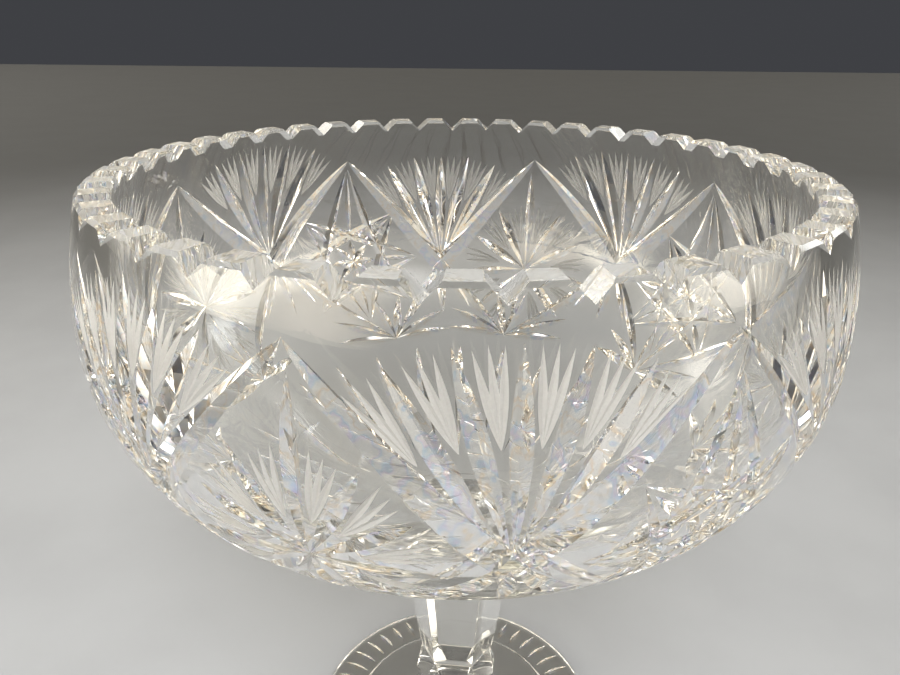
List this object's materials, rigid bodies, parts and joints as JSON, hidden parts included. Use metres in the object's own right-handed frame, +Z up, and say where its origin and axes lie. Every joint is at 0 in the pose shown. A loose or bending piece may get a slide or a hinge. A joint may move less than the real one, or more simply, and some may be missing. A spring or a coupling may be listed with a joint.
{
  "type": "punch bowl",
  "caption": "Footed punch bowl in cut lead crystal: deep round bowl with a toothed rim on a six-sided stem, knop and round foot.",
  "frame": {"origin": "centre of the foot's resting ring, on the table", "axes": "+Z up along the bowl's axis; -Y is the side that faces the viewer"},
  "size_m": [0.25, 0.25, 0.253],
  "materials": {
    "cut_crystal": "polished lead crystal, wheel-cut with polished mitres and matt blades",
    "clear_crystal": "polished clear lead crystal"
  },
  "bodies": {
    "root": {"bowl": "cut_crystal", "collar": "clear_crystal", "stem": "clear_crystal", "knop": "clear_crystal", "foot": "clear_crystal"}
  },
  "joints": []
}
